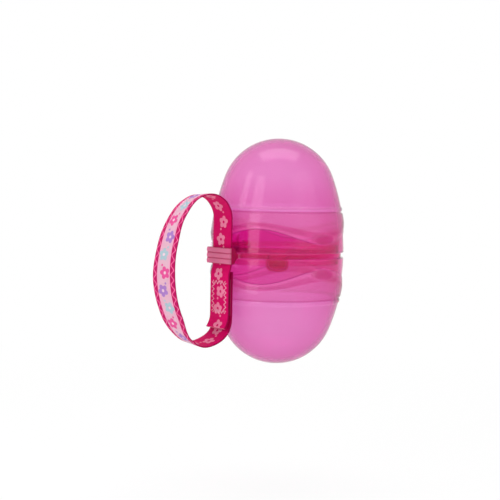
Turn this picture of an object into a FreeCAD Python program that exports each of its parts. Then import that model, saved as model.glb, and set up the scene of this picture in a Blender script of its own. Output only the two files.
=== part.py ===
import FreeCAD, Part
import math
import os
from FreeCAD import Vector

# Sizes are in millimetres. While the pieces are made, Z is the case's long axis, z = 0 is the middle of the
# seam between the lids, -Y is the front with the thumb scoops, and -X is the side with the strap.

# Oval outline of the closed case
case_radius = 33.0
end_radius = 28.0
upper_height = 56.0
lower_height = 54.0

# Lid walls and rims
rim_wall = 2.1
apex_wall = 2.0
rim_round = 0.5
collar_recess = 0.7
seam_gap = 2.4

# Wavy band round each lid, and the groove and rib above it
wave_lobes = 3
wave_height = 9.3
wave_swing = 3.5
lip_height = 4.1
lip_swing = 0.8
lip_step = 0.35
band_top = 20.4
band_proud = 0.35
band_edge = 0.3
band_root = 0.5
band_lap = 0.35
groove_width = 0.9
groove_depth = 0.45
rib_width = 2.1
rib_proud = 0.4
wave_points = 36

# Thumb scoop at the front of each lid
scoop_height = 8.3
scoop_depth = 1.0
scoop_half_length = 15.0
scoop_half_depth = 2.2
scoop_half_height = 3.4

# Divider plate between the lids
flange_inset = 1.3
seat_clearance = 0.1
spigot_height = 3.0
spigot_wall = 1.2
spigot_clearance = 0.35
boss_radius = 5.65
boss_drop = 7.9
boss_round = 3.2
boss_wall = 1.4

# Hinges at the back: one above the other, each with a pin and an odd number of knuckles
pin_radius = 1.0
pin_clearance = 0.05
pin_chamfer = 0.3
barrel_radius = 2.2
barrel_clearance = 0.3
knuckle_width = 4.4
knuckle_gap = 0.3
knuckle_count = 5

# Strap bridge on the divider
bridge_gap = 0.8
slot_depth = 3.1
bridge_bar = 1.6
bridge_height = 7.6
bridge_ribs = 3
bridge_rib_proud = 0.45
bridge_leg = 1.2
bridge_flare = 1.8
slot_clearance = 0.3

# Ribbon strap, with its hook and loop patches
ribbon_width = 13.5
ribbon_thickness = 0.7
strand_gap = 1.0
patch_thickness = 0.7
patch_length = 17.0
patch_margin = 0.75
patch_drop = 1.5
strand_end_drop = 3.7
tail_step = 5.7
tail_lift = 2.4
tail_tip_drop = 6.0
strand_below_patch = 2.5
strand_top = 17.5

# The loop's route: how far out from the straight strand, and how far above the strand's lower or upper end
lower_bend = [(2.7, -6.7), (8.9, -10.8), (16.8, -10.6), (26.1, -4.4), (32.9, 6.5), (35.0, 20.5)]
upper_bend = [(32.5, -11.3), (26.7, 0.8), (18.8, 9.3), (11.3, 11.3), (4.3, 8.3)]

# Sizes that follow from the ones above
rim_level = seam_gap / 2
plate_half = rim_level - seat_clearance
collar_radius = case_radius - collar_recess
flange_radius = collar_radius - flange_inset
spigot_radius = collar_radius - rim_wall - spigot_clearance
hinge_y = collar_radius + barrel_clearance + barrel_radius
hinge_z = barrel_radius + knuckle_gap / 2
bore_radius = pin_radius + pin_clearance
knuckle_pitch = knuckle_width + knuckle_gap
last_place = knuckle_count // 2
divider_places = range(-last_place, last_place + 1, 2)
lid_places = range(1 - last_place, last_place, 2)
pin_length = 2 * last_place * knuckle_pitch + knuckle_width
slot_inner = -(collar_radius + bridge_gap)
slot_outer = slot_inner - slot_depth
bar_outer = slot_outer - bridge_bar
slot_half = ribbon_width / 2 + slot_clearance
strand_x = -(case_radius + band_proud + strand_gap + ribbon_thickness / 2)
slot_x = slot_outer + slot_clearance + ribbon_thickness / 2
tail_x = strand_x - ribbon_thickness - 2 * patch_thickness
slot_bottom = -bridge_height / 2
tail_start = slot_bottom - tail_step
patch_top = tail_start - patch_drop
tail_bend = patch_top - patch_length
strand_end = slot_bottom - strand_end_drop
strand_bottom = tail_bend - strand_below_patch
loop_route = [(strand_x - reach, strand_bottom + rise) for reach, rise in lower_bend]
loop_route += [(strand_x - reach, strand_top + rise) for reach, rise in upper_bend]
loop_far_x, loop_far_z = loop_route[len(lower_bend) - 1]
strap_seat = Vector(loop_far_x + ribbon_thickness / 2, 0, loop_far_z)
z_axis = Vector(0, 0, 1)
least_turn = 1e-6  # a run that turns less than this is straight


def at_front_angle(radius, angle, z):
    """The point at an angle counted from the front, seen from above."""
    return Vector(radius * math.sin(angle), -radius * math.cos(angle), z)


def in_section(radius, z):
    """A point of a lid's or the divider's section, in the XZ plane."""
    return Vector(radius, 0, z)


def arc_through(start, middle, end):
    return Part.Arc(start, middle, end).toShape()


def line_between(start, end):
    return Part.LineSegment(start, end).toShape()


class Oval:
    """A half oval of two tangent arcs: a wide side arc at the seam and a round end arc at the apex."""

    def __init__(self, half_width, height, end_arc):
        self.half_width = half_width
        self.height = height
        self.end_arc = end_arc
        self.end_centre = height - end_arc
        reach = half_width ** 2 + self.end_centre ** 2 - end_arc ** 2
        self.side_bow = 2 * (half_width - end_arc) / reach
        self.meet_z = self.end_centre / (1 - self.side_bow * end_arc)
        self.meet_angle = math.asin(self.side_bow * self.meet_z)

    def radius(self, z, offset=0.0):
        """The radius at a height on the side arc, moved out by the offset. The bow is one over the arc's radius."""
        bow = self.side_bow / (1 + self.side_bow * offset)
        return self.half_width + offset - bow * z ** 2 / (1 + math.sqrt(1 - (bow * z) ** 2))

    def side_edge(self, low, high, offset=0.0):
        heights = (low, (low + high) / 2, high)
        return arc_through(*[in_section(self.radius(z, offset), z) for z in heights])

    def end_edge(self):
        half_turn = (self.meet_angle + math.pi / 2) / 2
        middle = in_section(
            self.end_arc * math.cos(half_turn),
            self.end_centre + self.end_arc * math.sin(half_turn),
        )
        start = in_section(self.radius(self.meet_z), self.meet_z)
        return arc_through(start, middle, in_section(0, self.height))


def wave_level(angle):
    """Height of the band's seam-side edge, lowest at the front."""
    return wave_height - wave_swing * math.cos(wave_lobes * angle)


def lip_level(angle):
    """Height of the line where the band's bevelled lip ends."""
    return wave_level(angle) + lip_height - lip_swing * math.cos(wave_lobes * angle)


def ring_curve(radius_at, level_at):
    """A closed smooth curve round the case, from a radius by height and a height by angle."""
    step = 2 * math.pi / wave_points
    angles = [index * step for index in range(wave_points)]
    points = [at_front_angle(radius_at(level_at(angle)), angle, level_at(angle)) for angle in angles]
    curve = Part.BSplineCurve()
    curve.interpolate(Points=points, PeriodicFlag=True, Parameters=angles + [2 * math.pi])
    return curve.toShape()


def make_band(oval):
    """The raised band: a ring with a wavy bevelled lip below and a flat top beside the groove."""
    def flat(level):
        return lambda angle: level

    def raised(by):
        return lambda z: oval.radius(z) + by

    rings = [
        ring_curve(raised(-collar_recess - band_root), wave_level),
        ring_curve(raised(-collar_recess + lip_step), wave_level),
        ring_curve(raised(band_proud), lip_level),
        ring_curve(raised(band_proud), flat(band_top - band_edge)),
        ring_curve(raised(band_proud - band_edge), flat(band_top)),
        ring_curve(raised(-collar_recess - band_root), flat(band_top)),
    ]
    pairs = zip(rings, rings[1:] + rings[:1])
    faces = [Part.makeRuledSurface(first, second) for first, second in pairs]
    shell = Part.makeShell(faces)
    shell.sewShape()
    band = Part.makeSolid(shell)
    if band.Volume < 0:
        band.reverse()
    return band


def make_cavity(height):
    """The hollow inside a lid, open through the rim."""
    inner = Oval(collar_radius - rim_wall, height - apex_wall, end_radius - apex_wall)
    mouth = in_section(inner.radius(0), 0)
    edges = [
        line_between(in_section(0, 0), mouth),
        inner.side_edge(0, inner.meet_z),
        inner.end_edge(),
        line_between(in_section(0, inner.height), in_section(0, 0)),
    ]
    return Part.Face(Part.Wire(edges)).revolve(Vector(), z_axis, 360)


def make_lid_body(oval):
    """The lid's outside without its band: rim, collar, groove floor, rib and dome."""
    rim_radius = oval.radius(rim_level, -collar_recess)
    rim_top = rim_level + rim_round
    corner = rim_round * math.sqrt(0.5)
    step_level = band_top - band_lap
    rib_low = band_top + groove_width
    rib_high = rib_low + rib_width
    rib_middle = (rib_low + rib_high) / 2
    collar_end = in_section(oval.radius(step_level, -collar_recess), step_level)
    floor_start = in_section(oval.radius(step_level, -groove_depth), step_level)
    floor_end = in_section(oval.radius(rib_low, -groove_depth), rib_low)
    rib_start = in_section(oval.radius(rib_low), rib_low)
    collar_start = in_section(oval.radius(rim_top, -collar_recess), rim_top)
    edges = [
        line_between(in_section(0, rim_level), in_section(rim_radius - rim_round, rim_level)),
        arc_through(
            in_section(rim_radius - rim_round, rim_level),
            in_section(rim_radius - rim_round + corner, rim_top - corner),
            collar_start,
        ),
        oval.side_edge(rim_top, step_level, -collar_recess),
        line_between(collar_end, floor_start),
        oval.side_edge(step_level, rib_low, -groove_depth),
        line_between(floor_end, rib_start),
        arc_through(
            rib_start,
            in_section(oval.radius(rib_middle, rib_proud), rib_middle),
            in_section(oval.radius(rib_high), rib_high),
        ),
        oval.side_edge(rib_high, oval.meet_z),
        oval.end_edge(),
        line_between(in_section(0, oval.height), in_section(0, rim_level)),
    ]
    return Part.Face(Part.Wire(edges)).revolve(Vector(), z_axis, 360)


def make_scoop(oval):
    """The shallow oval hollow for a thumb, at the front of the band's lip."""
    surface = oval.radius(scoop_height) + band_proud
    stretch = FreeCAD.Matrix()
    stretch.scale(scoop_half_length, scoop_half_depth, scoop_half_height)
    scoop = Part.makeSphere(1.0).transformGeometry(stretch)
    scoop.translate(Vector(0, -(surface + scoop_half_depth - scoop_depth), scoop_height))
    return scoop


def turned_over(shape):
    """The same shape turned half a turn about the front-to-back axis."""
    return shape.rotated(Vector(), Vector(0, 1, 0), 180)


def make_round(radius, length, middle=0.0):
    """A round on the upper hinge's axis, such as a barrel, a pin or its bore."""
    start = Vector(middle - length / 2, hinge_y, hinge_z)
    return Part.makeCylinder(radius, length, start, Vector(1, 0, 0))


def make_lid_knuckle(place):
    """The upper lid's knuckle with its gusset, which starts inside the lid and is trimmed by the hollow."""
    middle = place * knuckle_pitch
    start = middle - knuckle_width / 2
    lean = barrel_radius * math.sqrt(0.5)
    outer_y = hinge_y + lean
    wall_y = collar_radius - rim_wall / 2
    top = hinge_z + lean + outer_y - wall_y
    corners = [
        Vector(start, 0, rim_level),
        Vector(start, hinge_y, rim_level),
        Vector(start, outer_y, hinge_z + lean),
        Vector(start, wall_y, top),
        Vector(start, 0, top),
    ]
    gusset = Part.Face(Part.makePolygon(corners + corners[:1])).extrude(Vector(knuckle_width, 0, 0))
    return gusset.fuse(make_round(barrel_radius, knuckle_width, middle))


def make_divider_knuckle(place):
    """The divider's knuckle for both hinges: an upright link with round ends, on a web from the plate."""
    middle = place * knuckle_pitch
    start = middle - knuckle_width / 2
    barrel = make_round(barrel_radius, knuckle_width, middle)
    lower_barrel = make_round(barrel_radius, knuckle_width, -middle)
    link_corner = Vector(start, hinge_y - barrel_radius, -hinge_z)
    link = Part.makeBox(knuckle_width, 2 * barrel_radius, 2 * hinge_z, link_corner)
    web = Part.makeBox(knuckle_width, hinge_y, 2 * plate_half, Vector(start, 0, -plate_half))
    return link.fuse([barrel, turned_over(lower_barrel), web])


def make_lid(height):
    oval = Oval(case_radius, height, end_radius)
    knuckles = [make_lid_knuckle(place) for place in lid_places]
    lid = make_lid_body(oval).fuse([make_band(oval)] + knuckles)
    lid = lid.cut([make_cavity(height), make_scoop(oval), make_round(bore_radius, pin_length)])
    return lid.removeSplitter()


def make_boss():
    """The hollow rounded boss under the plate, as a pair: its outside and its inside."""
    def cup(radius, bottom, corner):
        bend = corner * math.sqrt(0.5)
        edges = [
            line_between(in_section(0, plate_half), in_section(radius, plate_half)),
            line_between(in_section(radius, plate_half), in_section(radius, bottom + corner)),
            arc_through(
                in_section(radius, bottom + corner),
                in_section(radius - corner + bend, bottom + corner - bend),
                in_section(radius - corner, bottom),
            ),
            line_between(in_section(radius - corner, bottom), in_section(0, bottom)),
            line_between(in_section(0, bottom), in_section(0, plate_half)),
        ]
        return Part.Face(Part.Wire(edges)).revolve(Vector(), z_axis, 360)

    outside = cup(boss_radius, -plate_half - boss_drop, boss_round)
    inside = cup(boss_radius - boss_wall, -plate_half - boss_drop + boss_wall, boss_round - boss_wall)
    return outside, inside


def make_bridge():
    """The loop on the divider's side that holds the ribbon: two legs and a ribbed bar."""
    half_height = bridge_height / 2
    half_length = slot_half + bridge_leg
    root_x = -(flange_radius - spigot_wall)
    neck_x = slot_inner - bridge_leg / 2
    leg_profile = [
        (root_x, -plate_half),
        (neck_x, -plate_half),
        (neck_x - bridge_flare, -half_height),
        (bar_outer, -half_height),
        (bar_outer, half_height),
        (neck_x - bridge_flare, half_height),
        (neck_x, plate_half),
        (root_x, plate_half),
    ]
    corners = [Vector(x, -half_length, z) for x, z in leg_profile]
    block = Part.Face(Part.makePolygon(corners + corners[:1])).extrude(Vector(0, 2 * half_length, 0))
    slot = Part.makeBox(slot_depth, 2 * slot_half, bridge_height, Vector(slot_outer, -slot_half, -half_height))
    rib_step = bridge_height / bridge_ribs
    levels = [half_height - index * rib_step for index in range(bridge_ribs + 1)]
    ridges = [
        arc_through(
            Vector(bar_outer, -half_length, upper),
            Vector(bar_outer - bridge_rib_proud, -half_length, (upper + lower) / 2),
            Vector(bar_outer, -half_length, lower),
        )
        for upper, lower in zip(levels, levels[1:])
    ]
    back = line_between(
        Vector(bar_outer, -half_length, levels[-1]),
        Vector(slot_outer, -half_length, levels[-1]),
    )
    inside = line_between(
        Vector(slot_outer, -half_length, levels[-1]),
        Vector(slot_outer, -half_length, levels[0]),
    )
    front = line_between(
        Vector(slot_outer, -half_length, levels[0]),
        Vector(bar_outer, -half_length, levels[0]),
    )
    bar_face = Part.Face(Part.Wire(ridges + [back, inside, front]))
    bar = bar_face.extrude(Vector(0, 2 * half_length, 0))
    return block.cut(slot).fuse(bar)


def make_divider():
    plate = Part.makeCylinder(flange_radius, 2 * plate_half, Vector(0, 0, -plate_half))
    spigot_reach = rim_level + spigot_height
    spigot = Part.makeCylinder(spigot_radius, 2 * spigot_reach, Vector(0, 0, -spigot_reach))
    hollow = Part.makeCylinder(spigot_radius - spigot_wall, 2 * spigot_reach, Vector(0, 0, -spigot_reach))
    boss, boss_hollow = make_boss()
    knuckles = [make_divider_knuckle(place) for place in divider_places]
    divider = plate.fuse([spigot.cut(hollow), boss, make_bridge()] + knuckles)
    bore = make_round(bore_radius, pin_length)
    divider = divider.cut([boss_hollow, bore, turned_over(bore)])
    return divider.removeSplitter()


def make_pin():
    pin = make_round(pin_radius, pin_length)
    ends = [edge for edge in pin.Edges if edge.Closed]
    return pin.makeChamfer(pin_chamfer, ends)


def in_strap(point):
    """A point of the strap's route, in the XZ plane through the middle of the ribbon."""
    return Vector(point[0], 0, point[1])


def unit(vector):
    return vector / vector.Length


def mirrored_in(chord, along):
    """The direction in which an arc on this chord ends, when it starts along the given direction."""
    line = unit(chord)
    return line * (2 * along.dot(line)) - along


def strap_stations():
    """The ribbon's middle line from its hidden end to the tail's tip, as points with their directions."""
    down = Vector(0, 0, -1)
    loop = [(strand_x, strand_bottom)] + loop_route + [(slot_x, strand_top)]
    loop = [in_strap(point) for point in loop]
    stations = [(in_strap((strand_x, strand_end)), down), (loop[0], down)]
    for before, here, after in zip(loop, loop[1:], loop[2:]):
        arriving = here - before
        leaving = after - here
        along = unit(arriving) * leaving.Length + unit(leaving) * arriving.Length
        stations.append((here, unit(along)))
    stations.append((loop[-1], down))
    for point in ((slot_x, slot_bottom), (tail_x, tail_start), (tail_x, tail_bend)):
        stations.append((in_strap(point), down))
    tip = in_strap((tail_x - tail_lift, tail_bend - tail_tip_drop))
    stations.append((tip, mirrored_in(tip - stations[-1][0], down)))
    return stations


def biarc_joint(first, second):
    """The point and direction where the two arcs between a pair of stations meet."""
    (start, along), (end, onward) = first, second
    span = end - start
    both = span.dot(along + onward)
    turn = 2 * (1 - along.dot(onward))
    if turn < least_turn:
        reach = span.dot(span) / (2 * both)
    else:
        reach = (math.sqrt(both ** 2 + turn * span.dot(span)) - both) / turn
    joint = (start + end + (along - onward) * reach) / 2
    return joint, mirrored_in(joint - start, along)


def strap_route():
    """The stations with a joint between each two, so that one arc or straight run joins each to the next."""
    stations = strap_stations()
    route = stations[:1]
    for first, second in zip(stations, stations[1:]):
        route += [biarc_joint(first, second), second]
    return route


def side_edges(route, offset):
    """The route's line moved sideways: straight runs stay straight and arcs stay arcs."""
    moved = [(point + Vector(along.z, 0, -along.x) * offset, along) for point, along in route]
    edges = []
    for (start, along), (end, onward) in zip(moved, moved[1:]):
        chord = end - start
        line = unit(chord)
        lean = along - line * along.dot(line)
        if lean.Length < least_turn:
            edges.append(line_between(start, end))
        else:
            middle = (start + end) / 2 + lean * (chord.Length / 2 / (1 + along.dot(line)))
            edges.append(arc_through(start, middle, end))
    return edges


def make_ribbon():
    route = strap_route()
    outer = side_edges(route, ribbon_thickness / 2)
    inner = side_edges(route, -ribbon_thickness / 2)
    ends = [
        line_between(outer[0].valueAt(outer[0].FirstParameter), inner[0].valueAt(inner[0].FirstParameter)),
        line_between(outer[-1].valueAt(outer[-1].LastParameter), inner[-1].valueAt(inner[-1].LastParameter)),
    ]
    outline = Part.Wire(Part.__sortEdges__(outer + inner + ends))
    ribbon = Part.Face(outline).extrude(Vector(0, ribbon_width, 0))
    ribbon.translate(Vector(0, -ribbon_width / 2, 0))
    return ribbon


def make_patch(near_x):
    """A flat fastening patch that starts at near_x and is one patch thick, away from the case."""
    width = ribbon_width - 2 * patch_margin
    corner = Vector(near_x - patch_thickness, -width / 2, patch_top - patch_length)
    return Part.makeBox(patch_thickness, width, patch_length, corner)


loop_patch_x = strand_x - ribbon_thickness / 2
pieces = {
    "upper_shell": make_lid(upper_height),
    "lower_shell": turned_over(make_lid(lower_height)),
    "divider": make_divider(),
    "upper_hinge_pin": make_pin(),
    "lower_hinge_pin": turned_over(make_pin()),
    "strap_ribbon": make_ribbon(),
    "loop_patch": make_patch(loop_patch_x),
    "hook_patch": make_patch(loop_patch_x - patch_thickness),
}

os.makedirs("parts", exist_ok=True)
for name, shape in pieces.items():
    shape.translate(-strap_seat)
    shape.exportStep(f"parts/{name}.step")
    print(name, "valid" if shape.isValid() else "NOT VALID", len(shape.Solids), round(shape.Volume, 1))
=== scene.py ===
import math
import random

import bmesh
import bpy
from mathutils import Matrix, Vector


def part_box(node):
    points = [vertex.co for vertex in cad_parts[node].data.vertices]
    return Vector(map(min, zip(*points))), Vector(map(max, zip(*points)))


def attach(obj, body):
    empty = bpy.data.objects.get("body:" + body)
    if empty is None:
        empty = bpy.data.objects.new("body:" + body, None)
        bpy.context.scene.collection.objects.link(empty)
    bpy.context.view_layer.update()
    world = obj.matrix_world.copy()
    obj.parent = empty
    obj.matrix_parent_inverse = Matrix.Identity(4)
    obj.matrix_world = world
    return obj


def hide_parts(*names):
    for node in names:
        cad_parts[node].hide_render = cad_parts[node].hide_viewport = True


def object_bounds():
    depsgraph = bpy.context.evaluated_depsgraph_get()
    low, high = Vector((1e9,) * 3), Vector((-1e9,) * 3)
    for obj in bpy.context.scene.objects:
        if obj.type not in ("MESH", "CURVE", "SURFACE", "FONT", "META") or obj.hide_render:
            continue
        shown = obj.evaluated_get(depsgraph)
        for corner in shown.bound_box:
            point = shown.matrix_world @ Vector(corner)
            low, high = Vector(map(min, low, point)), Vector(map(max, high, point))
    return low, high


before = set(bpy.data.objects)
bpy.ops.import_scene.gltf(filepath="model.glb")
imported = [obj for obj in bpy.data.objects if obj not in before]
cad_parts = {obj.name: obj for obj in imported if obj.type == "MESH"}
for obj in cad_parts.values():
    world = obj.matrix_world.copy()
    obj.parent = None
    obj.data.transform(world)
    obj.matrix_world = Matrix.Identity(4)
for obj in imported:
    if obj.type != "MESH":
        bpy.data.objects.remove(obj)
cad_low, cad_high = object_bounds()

# Divider: the middle plate that both lids close on, with a boss below and a ribbed bridge for the strap.
# It is moulded in one piece from crimson polypropylene, see-through in the plate and dense in the bridge.
# The mould is polished, and the knuckles at the plate's back hold the hinge pins.
mm = 0.001
divider_rose = (0.97, 0.52, 0.78)
divider_deep = (0.95, 0.46, 0.74)
divider_cloud = 9.0 * mm
divider_grain = 0.5 * mm
divider_grain_depth = 0.01 * mm
divider_roughness = (0.1, 0.2)
divider_ior = 1.15
plate_clearness = 0.95
bridge_clearness = 0.35
bridge_rose = (0.92, 0.26, 0.46)
# Painted shade in the grooves between the bridge's ribs.
painted_bridge_groove_shade = (0.66, 0.10, 0.23)
bridge_crimson = (0.50, 0.004, 0.09)
bridge_inside = 37.0 * mm
bridge_blend = 1.0 * mm
bridge_face = 0.9 * mm
bridge_body = 1.17 * mm
bridge_height = 7.6 * mm
bridge_ribs = 3
rib_foot = -0.5
boss_rose = (0.84, 0.03, 0.44)
boss_reach = 6.5 * mm
boss_start = 1.5 * mm
crimson_depth = (0.95, 0.02, 0.80)
crimson_density = 180.0
# Painted light: a paler colour for the knuckles, which sit in shade inside the case.
painted_knuckle_light = (0.98, 0.78, 0.9)
knuckle_start = 33.2 * mm
knuckle_start_blend = 0.3 * mm
knuckle_top = 11.0 * mm
knuckle_top_blend = 0.5 * mm
bridge_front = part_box("divider")[0].x
lid_low, lid_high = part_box("upper_shell")
seam = (lid_low.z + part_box("lower_shell")[1].z) / 2
case_middle = Vector(((lid_low.x + lid_high.x) / 2, 0, seam))


def start_material(name):
    """A new material with its node tree and its shader."""
    material = bpy.data.materials.new(name)
    material.use_nodes = True
    tree = material.node_tree
    return material, tree, tree.nodes["Principled BSDF"]


def object_place(tree):
    """Where a point lies on its piece, in metres."""
    return tree.nodes.new("ShaderNodeTexCoord").outputs["Object"]


def coordinates(tree, place):
    """The x, y and z of a place."""
    node = tree.nodes.new("ShaderNodeSeparateXYZ")
    tree.links.new(place, node.inputs[0])
    return node.outputs["X"], node.outputs["Y"], node.outputs["Z"]


def feed(tree, socket, value):
    """Put a number or colour on a socket, or link another socket to it."""
    if isinstance(value, bpy.types.NodeSocket):
        tree.links.new(value, socket)
    elif isinstance(value, tuple):
        socket.default_value = (*value, 1.0)
    else:
        socket.default_value = value


def calc(tree, operation, *values):
    """A maths node on numbers or sockets, giving its result."""
    node = tree.nodes.new("ShaderNodeMath")
    node.operation = operation
    for socket, value in zip(node.inputs, values):
        feed(tree, socket, value)
    return node.outputs[0]


def squares(tree, first, second):
    """The sum of two numbers' squares."""
    return calc(tree, "ADD", calc(tree, "POWER", first, 2.0), calc(tree, "POWER", second, 2.0))


def distance(tree, first, second):
    """The length of a line that goes so far along each of two axes."""
    return calc(tree, "SQRT", squares(tree, first, second))


def smooth_step(tree, value, start, end):
    """0 before the start, 1 past the end and a smooth change between them."""
    node = tree.nodes.new("ShaderNodeMapRange")
    node.interpolation_type = "SMOOTHSTEP"
    feed(tree, node.inputs["Value"], value)
    feed(tree, node.inputs["From Min"], start)
    feed(tree, node.inputs["From Max"], end)
    return node.outputs[0]


def above_line(tree, value, line, blend):
    """1 above the line and 0 below it, blended on both sides of it."""
    return smooth_step(tree, value, line - blend, line + blend)


def below_line(tree, value, line, blend):
    """1 below the line and 0 above it, blended on both sides of it."""
    return smooth_step(tree, value, line + blend, line - blend)


def mixed(tree, share, first, second):
    """A colour that goes from the first to the second as the share goes from 0 to 1."""
    node = tree.nodes.new("ShaderNodeMix")
    node.data_type = "RGBA"
    feed(tree, node.inputs["Factor"], share)
    feed(tree, node.inputs["A"], first)
    feed(tree, node.inputs["B"], second)
    return node.outputs["Result"]


def between(tree, share, first, second):
    """A number that goes from the first to the second as the share goes from 0 to 1."""
    node = tree.nodes.new("ShaderNodeMix")
    feed(tree, node.inputs["Factor"], share)
    feed(tree, node.inputs["A"], first)
    feed(tree, node.inputs["B"], second)
    return node.outputs["Result"]


def noise(tree, place, size):
    """Soft cloudy values from 0 to 1, with spots of about the given size."""
    node = tree.nodes.new("ShaderNodeTexNoise")
    node.inputs["Scale"].default_value = 1 / size
    tree.links.new(place, node.inputs["Vector"])
    return node.outputs["Fac"]


def bump(tree, shader, height, depth):
    """Raise the surface in shading by a height map, up to the given depth."""
    node = tree.nodes.new("ShaderNodeBump")
    node.inputs["Distance"].default_value = depth
    tree.links.new(height, node.inputs["Height"])
    tree.links.new(node.outputs["Normal"], shader.inputs["Normal"])


def colour_by_depth(tree, tint, density):
    """Colour the light by how far it goes through the plastic."""
    depth = tree.nodes.new("ShaderNodeVolumeAbsorption")
    feed(tree, depth.inputs["Color"], tint)
    feed(tree, depth.inputs["Density"], density)
    tree.links.new(depth.outputs[0], tree.nodes["Material Output"].inputs["Volume"])


def dress(node, material):
    """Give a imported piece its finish."""
    node.data.materials.clear()
    node.data.materials.append(material)


def seam_level(tree, z):
    """The height above the seam's middle."""
    return calc(tree, "SUBTRACT", z, case_middle.z)


def knuckle_share(tree, y, level):
    """1 on the hinge knuckles at the back of the seam and 0 elsewhere."""
    back = above_line(tree, y, knuckle_start, knuckle_start_blend)
    beside = below_line(tree, calc(tree, "ABSOLUTE", level), knuckle_top, knuckle_top_blend)
    return calc(tree, "MULTIPLY", back, beside)


def crimson_plastic():
    """The divider's finish: the see-through plate with its boss and knuckles, and the dense ribbed bridge,
    with painted light on the knuckles and painted shade in the bridge's grooves.
    """
    material, tree, shader = start_material("crimson_plastic")
    place = object_place(tree)
    x, y, z = coordinates(tree, place)
    level = seam_level(tree, z)
    plate = mixed(tree, noise(tree, place, divider_cloud), divider_rose, divider_deep)
    # Painted light: the knuckles are paler, so they don't read dark in the shade inside the case.
    plate = mixed(tree, knuckle_share(tree, y, level), plate, painted_knuckle_light)
    from_axis = distance(tree, calc(tree, "SUBTRACT", x, case_middle.x), y)
    within = calc(tree, "LESS_THAN", from_axis, boss_reach)
    lower = calc(tree, "LESS_THAN", level, -boss_start)
    plate = mixed(tree, calc(tree, "MULTIPLY", within, lower), plate, boss_rose)
    # Painted shade in the grooves between the bridge's ribs.
    crest = calc(tree, "COSINE", calc(tree, "MULTIPLY", level, 2 * math.pi * bridge_ribs / bridge_height))
    ribs = mixed(tree, smooth_step(tree, crest, -1.0, rib_foot), painted_bridge_groove_shade, bridge_rose)
    behind = smooth_step(tree, x, bridge_front + bridge_face, bridge_front + bridge_body)
    bridge = mixed(tree, behind, ribs, bridge_crimson)
    inside = above_line(tree, x, bridge_inside, bridge_blend)
    grain = noise(tree, place, divider_grain)
    feed(tree, shader.inputs["Base Color"], mixed(tree, inside, bridge, plate))
    feed(tree, shader.inputs["Roughness"], between(tree, grain, *divider_roughness))
    feed(tree, shader.inputs["Transmission Weight"], between(tree, inside, bridge_clearness, plate_clearness))
    feed(tree, shader.inputs["IOR"], divider_ior)
    bump(tree, shader, grain, divider_grain_depth)
    colour_by_depth(tree, crimson_depth, crimson_density)
    return material


dress(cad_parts["divider"], crimson_plastic())

# Hinge pins: two short rods of clear pink plastic, one for each lid to turn on.
# They are drawn through a die, which leaves fine lines along them, and cut off with chamfered ends.
# Each is pressed through the divider's knuckles.
pin_light = (0.95, 0.4, 0.7)
pin_deep = (0.92, 0.34, 0.64)
pin_roughness = (0.25, 0.4)
pin_ior = 1.15
pin_clearness = 0.9
pin_line_span = 0.75 * mm
pin_line_depth = 0.01 * mm


def drawn_rod():
    """The pins' finish, with the die's fine lines."""
    material, tree, shader = start_material("drawn_rod")
    lines = tree.nodes.new("ShaderNodeTexWave")
    lines.bands_direction = "Z"
    lines.inputs["Scale"].default_value = 1 / pin_line_span
    tree.links.new(object_place(tree), lines.inputs["Vector"])
    line = lines.outputs["Fac"]
    feed(tree, shader.inputs["Base Color"], mixed(tree, line, pin_deep, pin_light))
    feed(tree, shader.inputs["Roughness"], between(tree, line, *pin_roughness))
    feed(tree, shader.inputs["IOR"], pin_ior)
    feed(tree, shader.inputs["Transmission Weight"], pin_clearness)
    bump(tree, shader, line, pin_line_depth)
    return material


pin_finish = drawn_rod()
for pin in ("upper_hinge_pin", "lower_hinge_pin"):
    dress(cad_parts[pin], pin_finish)

# Lids: two domes moulded in clear pink plastic, which swing on the pins and close over the divider's rings.
# The collar at the seam is polished like glass. Past the wavy line the band and the dome have a satin skin,
# which scatters the light and looks paler.
wave_lobes = 3
wave_height = 9.3 * mm
wave_swing = 3.5 * mm
lip_height = 4.4 * mm
lip_swing = 1.2 * mm
lip_blend = 0.03
bevel_share = 0.45
bevel_blend = 0.1
edge_line = 0.25 * mm
line_blend = 0.1 * mm
band_top = 20.4 * mm
groove_width = 0.9 * mm
groove_blend = 0.2 * mm
groove_top = band_top + groove_width
rib_width = 2.1 * mm
rib_blend = 0.3 * mm
rib_top = groove_top + rib_width
dome_start = 32.0 * mm
dome_blend = 10.0 * mm
rim_height = 2.5 * mm
rim_blend = 2.0 * mm
flange_height = 1.8 * mm
flange_blend = 0.2 * mm
front_edge = math.radians(48)
front_middle = math.radians(14.4)
# How strongly the painted light on the collar's front shows.
painted_front_light_strength = 0.8
scoop_height = 8.3 * mm
scoop_half_length = 7.0 * mm
scoop_half_height = 2.85 * mm
scoop_brim = 1.1
scoop_brim_blend = 0.1
scoop_bowl = 0.75
scoop_bowl_blend = 0.2
satin_pink = (0.96, 0.69, 0.89)
satin_rose = (0.94, 0.64, 0.86)
dome_rose = (0.94, 0.57, 0.83)
# Painted highlight on the rib and painted shade in the groove under it.
painted_rib_highlight = (0.99, 0.76, 0.95)
painted_groove_shade = (0.83, 0.41, 0.66)
band_pink = (0.94, 0.57, 0.8)
# Painted shade and painted highlight on the lip's step, and a painted shade line in its inner corner.
painted_bevel_shade = (0.87, 0.34, 0.62)
painted_bevel_highlight = (0.96, 0.48, 0.75)
painted_edge_shade = (0.5, 0.06, 0.3)
collar_magenta = (0.85, 0.12, 0.55)
lower_magenta = (0.88, 0.28, 0.63)
# Painted light: the collar's front is paler and greyer.
painted_front_light = (0.87, 0.38, 0.55)
rim_rose = (0.92, 0.3, 0.59)
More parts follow.
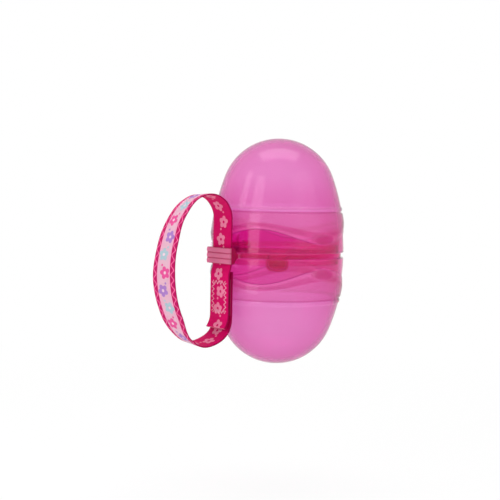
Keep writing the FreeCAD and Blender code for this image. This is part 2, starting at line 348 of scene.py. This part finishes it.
# Painted highlight along the rim's edge, then painted highlight and painted shade on the thumb scoop.
painted_flange_highlight = (0.99, 0.56, 0.75)
painted_scoop_highlight = (0.98, 0.56, 0.79)
painted_scoop_shade = (0.81, 0.25, 0.51)
plastic_depth = (0.85, 0.06, 0.63)
plastic_density = 200.0
satin_cloud = 14.0 * mm
satin_grain = 0.4 * mm
satin_roughness = (0.2, 0.28)
polish_roughness = 0.03
satin_clearness = 0.9
polish_clearness = 0.97
satin_coat = 0.4
polish_coat = 0.5
coat_ior = 1.4
coat_roughness = 0.1
lid_ior = 1.09
sink_size = 6.0 * mm
sink_depth = 0.02 * mm


def pink_plastic():
    """The lids' finish: tints from the dome down to the rim, then the thumb scoop and the knuckles, with
    painted highlights and painted shade on the rib, the lip's step, the rim and the scoop, and painted light
    on the collar's front and the knuckles.
    """
    material, tree, shader = start_material("pink_plastic")
    place = object_place(tree)
    x, y, z = coordinates(tree, place)
    side = calc(tree, "SUBTRACT", x, case_middle.x)
    height = seam_level(tree, z)
    level = calc(tree, "ABSOLUTE", height)
    turn = calc(tree, "ARCTAN2", side, calc(tree, "MULTIPLY", y, -1.0))
    lobe = calc(tree, "COSINE", calc(tree, "MULTIPLY", turn, wave_lobes))
    wave = calc(tree, "SUBTRACT", wave_height, calc(tree, "MULTIPLY", lobe, wave_swing))
    lip = calc(tree, "ADD", lip_height, calc(tree, "MULTIPLY", lobe, lip_swing))
    above = calc(tree, "SUBTRACT", level, wave)
    up_lip = calc(tree, "DIVIDE", above, lip)
    along_scoop = calc(tree, "DIVIDE", side, scoop_half_length)
    up_scoop = calc(tree, "DIVIDE", calc(tree, "SUBTRACT", level, scoop_height), scoop_half_height)
    behind = calc(tree, "GREATER_THAN", y, 0.0)
    scoop = calc(tree, "ADD", squares(tree, along_scoop, up_scoop), behind)
    upper_lid = above_line(tree, height, 0.0, line_blend)
    low_dome = mixed(tree, upper_lid, satin_pink, dome_rose)
    front = smooth_step(tree, calc(tree, "ABSOLUTE", turn), front_edge, front_middle)
    collar = mixed(tree, upper_lid, lower_magenta, collar_magenta)
    # Painted light: the collar turns paler and greyer towards the front.
    collar = mixed(tree, calc(tree, "MULTIPLY", front, painted_front_light_strength), collar, painted_front_light)
    tints = ((level, dome_start, dome_blend, low_dome),
             # Painted highlight on the rib and painted shade in the groove under it.
             (level, rib_top, rib_blend, painted_rib_highlight),
             (level, groove_top, groove_blend, painted_groove_shade),
             (level, band_top, line_blend, band_pink),
             # Painted shade and painted highlight on the lip's step, and a painted shade line in its inner
             # corner at the wavy edge.
             (up_lip, 1.0, lip_blend, painted_bevel_shade),
             (up_lip, bevel_share, bevel_blend, painted_bevel_highlight),
             (above, edge_line, line_blend, painted_edge_shade),
             (above, 0.0, line_blend, collar),
             (level, rim_height, rim_blend, rim_rose),
             # Painted highlight along the rim's edge.
             (level, flange_height, flange_blend, painted_flange_highlight),
             # Painted highlight on the thumb scoop's brim and painted shade in its bowl.
             (scoop, scoop_brim, scoop_brim_blend, painted_scoop_highlight),
             (scoop, scoop_bowl, scoop_bowl_blend, painted_scoop_shade))
    skin = mixed(tree, noise(tree, place, satin_cloud), satin_pink, satin_rose)
    for value, line, blend, tint in tints:
        skin = mixed(tree, below_line(tree, value, line, blend), skin, tint)
    # Painted light: the knuckles are paler, so they don't read dark in the shade inside the case.
    skin = mixed(tree, knuckle_share(tree, y, height), skin, painted_knuckle_light)
    satin = above_line(tree, above, 0.0, line_blend)
    grain = between(tree, noise(tree, place, satin_grain), *satin_roughness)
    feed(tree, shader.inputs["Base Color"], skin)
    feed(tree, shader.inputs["Roughness"], between(tree, satin, polish_roughness, grain))
    feed(tree, shader.inputs["Transmission Weight"], between(tree, satin, polish_clearness, satin_clearness))
    feed(tree, shader.inputs["Coat Weight"], between(tree, satin, polish_coat, satin_coat))
    feed(tree, shader.inputs["Coat IOR"], coat_ior)
    feed(tree, shader.inputs["Coat Roughness"], coat_roughness)
    feed(tree, shader.inputs["IOR"], lid_ior)
    bump(tree, shader, noise(tree, place, sink_size), sink_depth)
    colour_by_depth(tree, plastic_depth, plastic_density)
    return material


lid_finish = pink_plastic()
for lid in ("upper_shell", "lower_shell"):
    dress(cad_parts[lid], lid_finish)

# Strap ribbon: a narrow woven tape, pale with a print outside the loop and crimson inside it.
# One end is caught under the bridge, and the other comes back through its slot and lies on the strand.
# Its route is in millimetres: x, z and the lean, which is how far the front edge is turned into the loop.
ribbon_width = 13.5 * mm
ribbon_thickness = 0.7 * mm
ribbon_step = 0.45 * mm
ribbon_columns = 23
selvedge_power = 16
selvedge_least = 0.25
strand_out = 34.65
slot_out = 33.8
tail_out = 32.55
strand_run = [(strand_out, 2.5, 0), (strand_out, -19.0, 0)]
loop_bend = [(32.3, -26.0, -0.3), (25.2, -30.2, -0.6), (18.0, -30.9, -0.7), (11.0, -27.3, -0.6),
             (4.05, -17.0, 0.8), (-0.75, 0.0, 1.1), (1.1, 16.0, 0.4), (6.25, 28.4, -0.5), (14.0, 36.2, -0.8),
             (22.5, 38.5, -0.4), (29.6, 35.8, -0.2)]
slot_run = [(slot_out, 27.5, 0), (slot_out, 6.2, 0)]
tail_run = [(tail_out, 0.5, 0), (tail_out, -18.0, 0)]
tail_tip = (30.15, -24.0, 0)
tail_tip_way = Vector((-0.69, 0, -0.724))
run_way = Vector((0, 0, -1))
pale_side = 0
crimson_side = 1


def ribbon_stations():
    """The route's points with their directions and leans: straight down on the runs and round on the bend."""
    runs = strand_run + slot_run + tail_run
    route = strand_run + loop_bend + slot_run + tail_run + [tail_tip]
    points = [Vector((x, 0, z)) * mm for x, z, lean in route]
    stations = []
    for index, point in enumerate(points):
        if route[index] in runs:
            way = run_way
        elif route[index] == tail_tip:
            way = tail_tip_way
        else:
            arriving = point - points[index - 1]
            leaving = points[index + 1] - point
            way = arriving.normalized() * leaving.length + leaving.normalized() * arriving.length
        stations.append((point, way.normalized(), route[index][2] * mm))
    return stations


def ribbon_line():
    """Points along the ribbon with their directions, leans and distances from its hidden end."""
    stations = ribbon_stations()
    line = [stations[0] + (0.0,)]
    for (start, start_way, start_lean), (end, end_way, end_lean) in zip(stations, stations[1:]):
        chord = (end - start).length
        steps = max(2, round(chord / ribbon_step))
        for step in range(1, steps + 1):
            part = step / steps
            rest = 1 - part
            point = (start * (rest ** 2 * (1 + 2 * part)) + end * (part ** 2 * (1 + 2 * rest))
                     + start_way * (chord * part * rest ** 2) - end_way * (chord * rest * part ** 2))
            way = end_way if step == steps else point - line[-1][0]
            lean = start_lean + (end_lean - start_lean) * part ** 2 * (1 + 2 * rest)
            line.append((point, way.normalized(), lean, line[-1][3] + (point - line[-1][0]).length))
    return line


def finished_mesh(shape, name):
    """The shape as a mesh, with its faces turned outwards."""
    bmesh.ops.recalc_face_normals(shape, faces=shape.faces)
    mesh = bpy.data.meshes.new(name)
    shape.to_mesh(mesh)
    shape.free()
    return mesh


def weave_ribbon(line):
    """The ribbon's two faces, its thin woven edges and its cut ends, with the weave's own coordinates."""
    shape = bmesh.new()
    weave = shape.loops.layers.uv.new("weave")
    last = ribbon_columns - 1
    rings = []
    for point, way, lean, along in line:
        inward = Vector((way.z, 0, -way.x))
        ring = []
        for side in (-1, 1):
            row = []
            for column in range(ribbon_columns):
                share = 2 * column / last - 1
                half = ribbon_thickness / 2 * max(selvedge_least, math.sqrt(1 - abs(share) ** selvedge_power))
                across = Vector((0, share * ribbon_width / 2, 0)) - inward * (share * lean)
                row.append(shape.verts.new(point + across + inward * (side * half)))
            ring.append(row)
        rings.append((ring, along / ribbon_width))

    def add_face(corners, places, slot):
        made = shape.faces.new(corners)
        made.smooth = True
        made.material_index = slot
        for loop, place in zip(made.loops, places):
            loop[weave].uv = place

    for (ring, low), (following, high) in zip(rings, rings[1:]):
        for slot in (pale_side, crimson_side):
            here, there = ring[slot], following[slot]
            for column in range(last):
                left, right = column / last, (column + 1) / last
                corners = [here[column], here[column + 1], there[column + 1], there[column]]
                add_face(corners, [(left, low), (right, low), (right, high), (left, high)], slot)
        for column in (0, last):
            share = column / last
            corners = [ring[0][column], ring[1][column], following[1][column], following[0][column]]
            add_face(corners, [(share, low), (share, low), (share, high), (share, high)], crimson_side)
    for ring, along in (rings[0], rings[-1]):
        for column in range(last):
            corners = [ring[0][column], ring[0][column + 1], ring[1][column + 1], ring[1][column]]
            add_face(corners, [(0.5, along)] * 4, crimson_side)
    return finished_mesh(shape, "ribbon_loop")


# The print: five-petalled blossoms, left and right of the middle in turn, each with a dot by it.
# On the pale side they have three inks in turn and lie between two borders with a wavy line.
# On the crimson side they are all in one pink, without borders.
petals = 5
petal_waist = 0.65
blossom_pitch = 8.2 * mm
blossom_offset = 0.85 * mm
blossom_radius = 3.0 * mm
blossom_heart = 0.7 * mm
dot_radius = 0.55 * mm
dot_aside = 1.9 * mm
dot_ahead = 3.4 * mm
print_edge = 0.12 * mm
border_width = 2.85 * mm
border_wave_pitch = 4.55 * mm
border_wave_swing = 0.85 * mm
border_wave_half = 0.29 * mm
field_middle = 2.0 * mm
field_edge = 4.3 * mm
field_pale = (0.70, 0.41, 0.51)
field_pink = (0.79, 0.33, 0.50)
heart_pale = (0.79, 0.54, 0.63)
inks = ((0.37, 0.19, 0.51), (0.72, 0.085, 0.29), (0.37, 0.50, 0.56))
border_crimson = (0.48, 0.008, 0.11)
border_rose = (0.87, 0.14, 0.34)
face_crimson = (0.70, 0.0, 0.135)
face_pink = (0.90, 0.27, 0.44)
face_selvedge = (0.32, 0.002, 0.06)
face_selvedge_width = 0.9 * mm
weave_pitch = 0.42 * mm
weave_depth = 0.06 * mm
# Painted shade in the dips between the threads.
painted_dip_shade = (0.05, 0.0, 0.02)
dip_print_share = 0.75
weave_contrast = 0.4
weave_roughness = (0.7, 0.5)
weave_sheen = 0.02
weave_sheen_roughness = 0.4
weave_gloss = 0.05


def print_places(tree):
    """The places across the ribbon from its middle and along it, in metres."""
    weave = tree.nodes.new("ShaderNodeUVMap")
    weave.uv_map = "weave"
    column, row = coordinates(tree, weave.outputs["UV"])[:2]
    across = calc(tree, "MULTIPLY", calc(tree, "SUBTRACT", column, 0.5), ribbon_width)
    return across, calc(tree, "MULTIPLY", row, ribbon_width)


def printed(tree, rim, away):
    """1 where a point is nearer than the rim of a printed spot, and 0 outside it."""
    return above_line(tree, calc(tree, "SUBTRACT", rim, away), 0.0, print_edge)


def wave_along(tree, value, pitch):
    """A sine wave of the given pitch."""
    return calc(tree, "SINE", calc(tree, "MULTIPLY", value, 2 * math.pi / pitch))


def blossoms(tree, across, along):
    """Where the ink of the petals and dots is, where the blossoms' hearts are, and each blossom's number."""
    number = calc(tree, "FLOOR", calc(tree, "DIVIDE", along, blossom_pitch))
    middle = calc(tree, "MULTIPLY", calc(tree, "ADD", number, 0.5), blossom_pitch)
    side = calc(tree, "SUBTRACT", calc(tree, "MULTIPLY", calc(tree, "MODULO", number, 2.0), 2.0), 1.0)
    sideways = calc(tree, "SUBTRACT", across, calc(tree, "MULTIPLY", side, blossom_offset))
    onward = calc(tree, "SUBTRACT", along, middle)
    away = distance(tree, sideways, onward)
    turn = calc(tree, "ADD", calc(tree, "ARCTAN2", onward, sideways), number)
    lobe = calc(tree, "ABSOLUTE", calc(tree, "COSINE", calc(tree, "MULTIPLY", turn, petals / 2)))
    reach = calc(tree, "MULTIPLY_ADD", lobe, 1 - petal_waist, petal_waist)
    petal = printed(tree, calc(tree, "MULTIPLY", reach, blossom_radius), away)
    dot_side = calc(tree, "ADD", sideways, calc(tree, "MULTIPLY", side, dot_aside))
    dot_away = distance(tree, dot_side, calc(tree, "SUBTRACT", onward, dot_ahead))
    ink = calc(tree, "MAXIMUM", petal, printed(tree, dot_radius, dot_away))
    return ink, printed(tree, blossom_heart, away), number


def finish_weave(tree, shader, across, along, shade):
    """The woven surface: threads across and along, with painted shade in the dips between them, which darkens
    the print a little.
    """
    weft = wave_along(tree, along, weave_pitch)
    warp = wave_along(tree, across, weave_pitch)
    threads = calc(tree, "MULTIPLY_ADD", calc(tree, "MULTIPLY", weft, warp), 0.5, 0.5)
    crests = calc(tree, "MULTIPLY_ADD", threads, weave_contrast, 1 - weave_contrast)
    # Painted shade in the dips between the threads.
    dips = mixed(tree, dip_print_share, painted_dip_shade, shade)
    feed(tree, shader.inputs["Base Color"], mixed(tree, crests, dips, shade))
    feed(tree, shader.inputs["Roughness"], between(tree, threads, *weave_roughness))
    feed(tree, shader.inputs["Sheen Weight"], weave_sheen)
    feed(tree, shader.inputs["Sheen Roughness"], weave_sheen_roughness)
    feed(tree, shader.inputs["Specular IOR Level"], weave_gloss)
    bump(tree, shader, threads, weave_depth)


def pale_print():
    """The ribbon's outer side."""
    material, tree, shader = start_material("pale_print")
    across, along = print_places(tree)
    from_middle = calc(tree, "ABSOLUTE", across)
    inked, heart, number = blossoms(tree, across, along)
    turn = calc(tree, "MODULO", number, len(inks))
    ink = inks[0]
    for index in range(1, len(inks)):
        ink = mixed(tree, calc(tree, "COMPARE", turn, index, 0.5), ink, inks[index])
    field = mixed(tree, smooth_step(tree, from_middle, field_middle, field_edge), field_pale, field_pink)
    field = mixed(tree, inked, field, ink)
    field = mixed(tree, heart, field, heart_pale)
    into_border = calc(tree, "SUBTRACT", from_middle, ribbon_width / 2 - border_width)
    swing = calc(tree, "MULTIPLY", wave_along(tree, along, border_wave_pitch), border_wave_swing)
    from_border_middle = calc(tree, "SUBTRACT", into_border, border_width / 2)
    from_wave = calc(tree, "ABSOLUTE", calc(tree, "SUBTRACT", from_border_middle, swing))
    border = mixed(tree, printed(tree, border_wave_half, from_wave), border_crimson, border_rose)
    in_border = above_line(tree, into_border, 0.0, print_edge / 2)
    finish_weave(tree, shader, across, along, mixed(tree, in_border, field, border))
    return material


def crimson_print():
    """The ribbon's inner side, which is darker at its woven edges."""
    material, tree, shader = start_material("crimson_print")
    across, along = print_places(tree)
    inked, heart = blossoms(tree, across, along)[:2]
    face = mixed(tree, inked, face_crimson, face_pink)
    face = mixed(tree, heart, face, face_crimson)
    selvedge_start = ribbon_width / 2 - face_selvedge_width
    selvedge = smooth_step(tree, calc(tree, "ABSOLUTE", across), selvedge_start, ribbon_width / 2)
    finish_weave(tree, shader, across, along, mixed(tree, selvedge, face, face_selvedge))
    return material


def add_object(name, data):
    """A new object in the scene."""
    made = bpy.data.objects.new(name, data)
    bpy.context.scene.collection.objects.link(made)
    return made


def add_piece(name, mesh, body, materials):
    """A finished piece that moves with a body and takes the finishes it is given."""
    for material in materials:
        mesh.materials.append(material)
    piece = add_object(name, mesh)
    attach(piece, body)
    return piece


strap_body = "divider_and_strap"
middle_line = ribbon_line()
prints = [pale_print(), crimson_print()]
ribbon = add_piece("ribbon_loop", weave_ribbon(middle_line), strap_body, prints)
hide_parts("strap_ribbon")

# Fastening patches: hook tape sewn under the ribbon's tail and loop tape sewn on the strand that it lies on.
# Each is a thin woven nylon base with rows of stiff hooks or soft loops, and they grip each other.
tape_base = 0.3 * mm
tape_edge = 0.1 * mm
tape_edge_cuts = 2
tape_margin = 0.5 * mm
tape_crimson = (0.52, 0.01, 0.12)
tape_deep = (0.36, 0.004, 0.08)
tape_cloud = 0.6 * mm
tape_cloud_depth = 0.03 * mm
tape_roughness = (0.45, 0.65)
bristle_pitch = 0.85 * mm
bristle_radius = 0.07 * mm
bristle_side = 0.35 * bristle_pitch
hook_shape = ((0.0, 0.0), (0.7, 0.0), (1.0, 0.5), (0.75, 1.0))
loop_steps = 5
loop_seed = 7


def add_box(shape, low, high):
    """A box between two corners, with its edges rounded."""
    made = bmesh.ops.create_cube(shape, size=1.0)
    for vertex in made["verts"]:
        vertex.co = (low + high) / 2 + vertex.co * (high - low)
    edges = list({edge for vertex in made["verts"] for edge in vertex.link_edges})
    bmesh.ops.bevel(shape, geom=edges, offset=tape_edge, segments=tape_edge_cuts, affect="EDGES", profile=0.5)


def add_wire(shape, points, radius):
    """A thin square wire through the points, closed at both ends."""
    rings = []
    for index, point in enumerate(points):
        way = points[min(index + 1, len(points) - 1)] - points[max(index - 1, 0)]
        first = way.orthogonal().normalized() * radius
        second = way.normalized().cross(first)
        rings.append([shape.verts.new(point + side) for side in (first, second, -first, -second)])
    for ring, following in zip(rings, rings[1:]):
        for side in range(4):
            shape.faces.new((ring[side], ring[side - 1], following[side - 1], following[side]))
    shape.faces.new(rings[0])
    shape.faces.new(rings[-1][::-1])


def weave_tape(node, hooked):
    """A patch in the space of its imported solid. The hooks face the case and the loops face away from it."""
    low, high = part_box(node)
    shape = bmesh.new()
    if hooked:
        root, towards = low.x + tape_base, 1
        add_box(shape, low, Vector((root, high.y, high.z)))
    else:
        root, towards = high.x - tape_base, -1
        add_box(shape, Vector((root, low.y, low.z)), high)
    out = Vector((towards * (high.x - low.x - tape_base - 2 * bristle_radius), 0, 0))
    draw = random.Random(loop_seed)
    columns = int((high.y - low.y - 2 * tape_margin) / bristle_pitch)
    rows = int((high.z - low.z - 2 * tape_margin) / bristle_pitch)
    turns = [math.pi * step / loop_steps for step in range(loop_steps + 1)]
    for column in range(columns + 1):
        for row in range(rows + 1):
            foot = Vector((root, low.y + tape_margin + column * bristle_pitch,
                           low.z + tape_margin + row * bristle_pitch))
            if hooked:
                side = Vector((0, 0, bristle_side * (1 if row % 2 else -1)))
                points = [foot + out * up + side * along for up, along in hook_shape]
            else:
                lean = draw.uniform(0, 2 * math.pi)
                side = Vector((0, math.cos(lean), math.sin(lean))) * bristle_side
                points = [foot + side * -math.cos(turn) + out * math.sin(turn) for turn in turns]
            add_wire(shape, points, bristle_radius)
    return finished_mesh(shape, node)


def nylon_tape(name):
    """The finish of a patch, whose dye takes unevenly."""
    material, tree, shader = start_material(name)
    cloud = noise(tree, object_place(tree), tape_cloud)
    feed(tree, shader.inputs["Base Color"], mixed(tree, cloud, tape_deep, tape_crimson))
    feed(tree, shader.inputs["Roughness"], between(tree, cloud, *tape_roughness))
    bump(tree, shader, cloud, tape_cloud_depth)
    return material


for node, slot, hooked in (("hook_patch", "hook_tape", True), ("loop_patch", "loop_tape", False)):
    tape = add_piece(slot, weave_tape(node, hooked), strap_body, [nylon_tape("nylon_" + slot)])
    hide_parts(node)

# Stitching: a pale pink thread sewn in a zigzag round the hook patch, through the tail.
# It lies half sunk in the weave, where each stitch pulls it in.
zigzag_pitch = 2.2 * mm
zigzag_width = 1.6 * mm
zigzag_inset = 1.7 * mm
thread_radius = 0.26 * mm
thread_rose = (0.90, 0.42, 0.58)
thread_pale = (0.98, 0.56, 0.70)
thread_twist = 0.3 * mm
thread_twist_depth = 0.02 * mm
thread_roughness = (0.4, 0.6)


def sew_round():
    """A zigzag along each side of the patch, on the tail's outer face."""
    low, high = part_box("hook_patch")
    face = tail_out * mm - ribbon_thickness / 2
    bottom, top = low.z + zigzag_inset, high.z - zigzag_inset
    left, right = low.y + zigzag_inset, high.y - zigzag_inset
    corners = [Vector((face, left, bottom)), Vector((face, right, bottom)),
               Vector((face, right, top)), Vector((face, left, top))]
    shape = bmesh.new()
    for start, end in zip(corners, corners[1:] + corners[:1]):
        count = 2 * round((end - start).length / zigzag_pitch)
        across = Vector((1, 0, 0)).cross((end - start).normalized()) * (zigzag_width / 2)
        points = []
        for turn in range(count + 1):
            points.append(start.lerp(end, turn / count) + across * (1 if turn % 2 else -1))
        add_wire(shape, points, thread_radius)
    return finished_mesh(shape, "patch_stitching")


def sewing_thread():
    """The thread's finish, with its fine twist."""
    material, tree, shader = start_material("sewing_thread")
    twist = noise(tree, object_place(tree), thread_twist)
    feed(tree, shader.inputs["Base Color"], mixed(tree, twist, thread_rose, thread_pale))
    feed(tree, shader.inputs["Roughness"], between(tree, twist, *thread_roughness))
    bump(tree, shader, twist, thread_twist_depth)
    return material


stitching = add_piece("patch_stitching", sew_round(), strap_body, [sewing_thread()])

# Studio: a pale floor below the hanging case, a white surround, four soft lamps and the photograph's view.
# Two tall windows stand at the left, one softbox hangs above and one stands at the right in front.
# The surround gives less light on the camera's side. The studio's sizes are in metres and its lamps in watts.
floor_drop = 0.06
floor_half = 4.0
floor_grey = (0.9, 0.9, 0.9)
floor_roughness = 0.9
floor_shadow_end = 0.1
floor_fade_end = 0.5
floor_glow = 0.88
surround_white = (1.0, 1.0, 1.0)
surround_back = 0.62
surround_front = 0.36
surround_dim_start = -0.1
surround_dim_end = 0.75
lamps = (("left_window", (-0.547, -0.058, 0.15), (0.19, 0.52), 1.08),
         ("side_window", (-0.815, 0.38, 0.25), (0.2, 0.85), 2.0),
         ("top_softbox", (0.054, 0.060, 1.0), (0.95, 0.5), 5.3),
         ("front_softbox", (0.20, -1.0, 0.45), (0.9, 0.9), 2.4))
view_turn = math.radians(-42.0)
view_rise = math.radians(3.5)
view_roll = math.radians(1.1)
view_distance = 0.6
view_near = 0.01
sensor_width = 36
photo_width = 500
pixels_per_metre = 2040
seam_pixel = (277.5, 252.65)


def seen_share(tree):
    """1 for what the camera sees straight, mirrored or through clear plastic, and 0 for what only lights."""
    path = tree.nodes.new("ShaderNodeLightPath").outputs
    straight_or_mirrored = calc(tree, "MAXIMUM", path["Is Camera Ray"], path["Is Glossy Ray"])
    return calc(tree, "MAXIMUM", straight_or_mirrored, path["Is Transmission Ray"])


def make_floor():
    """A floor that is white where it is seen and keeps a little of the case's shadow."""
    level = cad_low[2] - floor_drop
    corners = [(-floor_half, -floor_half), (floor_half, -floor_half),
               (floor_half, floor_half), (-floor_half, floor_half)]
    mesh = bpy.data.meshes.new("studio_floor")
    mesh.from_pydata([(x, y, level) for x, y in corners], [], [(0, 1, 2, 3)])
    material, tree, shader = start_material("white_floor")
    feed(tree, shader.inputs["Base Color"], floor_grey)
    feed(tree, shader.inputs["Roughness"], floor_roughness)
    away = tree.nodes.new("ShaderNodeVectorMath")
    away.operation = "DISTANCE"
    tree.links.new(object_place(tree), away.inputs[0])
    away.inputs[1].default_value = (case_middle.x, case_middle.y, level)
    fade = smooth_step(tree, away.outputs["Value"], floor_shadow_end, floor_fade_end)
    white = between(tree, fade, floor_glow, 1.0)
    glow = tree.nodes.new("ShaderNodeEmission")
    blend = tree.nodes.new("ShaderNodeMixShader")
    feed(tree, blend.inputs["Fac"], calc(tree, "MULTIPLY", seen_share(tree), white))
    tree.links.new(shader.outputs[0], blend.inputs[1])
    tree.links.new(glow.outputs[0], blend.inputs[2])
    tree.links.new(blend.outputs[0], tree.nodes["Material Output"].inputs["Surface"])
    mesh.materials.append(material)
    add_object("studio_floor", mesh)


def make_surround():
    """A surround that is white where it is seen, and lights the case less from the camera's side."""
    world = bpy.data.worlds.new("white_surround")
    bpy.context.scene.world = world
    world.use_nodes = True
    tree = world.node_tree
    facing = tree.nodes.new("ShaderNodeVectorMath")
    facing.operation = "DOT_PRODUCT"
    tree.links.new(tree.nodes.new("ShaderNodeTexCoord").outputs["Generated"], facing.inputs[0])
    facing.inputs[1].default_value = (math.sin(view_turn), -math.cos(view_turn), 0.0)
    dim = smooth_step(tree, facing.outputs["Value"], surround_dim_start, surround_dim_end)
    lit = between(tree, dim, surround_back, surround_front)
    background = tree.nodes["Background"]
    feed(tree, background.inputs["Color"], surround_white)
    feed(tree, background.inputs["Strength"], between(tree, seen_share(tree), lit, 1.0))


def make_lamp(name, place, size, power):
    """A soft rectangular lamp that is turned to the case."""
    data = bpy.data.lights.new(name, "AREA")
    data.shape = "RECTANGLE"
    data.size, data.size_y = size
    data.energy = power
    lamp = add_object(name, data)
    lamp.location = case_middle + Vector(place)
    lamp.rotation_euler = (-Vector(place)).to_track_quat("-Z", "Y").to_euler()


def make_camera():
    """The photograph's view: the seam's middle lands on its pixel."""
    right = Vector((math.cos(view_turn), math.sin(view_turn), 0))
    back = Vector((math.sin(view_turn) * math.cos(view_rise), -math.cos(view_turn) * math.cos(view_rise),
                   math.sin(view_rise)))
    up = back.cross(right)
    across = (photo_width / 2 - seam_pixel[0]) / pixels_per_metre
    above = (seam_pixel[1] - photo_width / 2) / pixels_per_metre
    rolled_right = right * math.cos(view_roll) + up * math.sin(view_roll)
    rolled_up = up * math.cos(view_roll) - right * math.sin(view_roll)
    data = bpy.data.cameras.new("photo_view")
    data.sensor_width = sensor_width
    data.lens = sensor_width * view_distance * pixels_per_metre / photo_width
    data.clip_start = view_near
    camera = add_object("photo_view", data)
    axes = Matrix((rolled_right, rolled_up, back)).transposed().to_4x4()
    axes.translation = case_middle + right * across + up * above + back * view_distance
    camera.matrix_world = axes
    bpy.context.scene.camera = camera


make_floor()
make_surround()
for lamp in lamps:
    make_lamp(*lamp)
make_camera()
bpy.context.scene.view_settings.view_transform = "Standard"
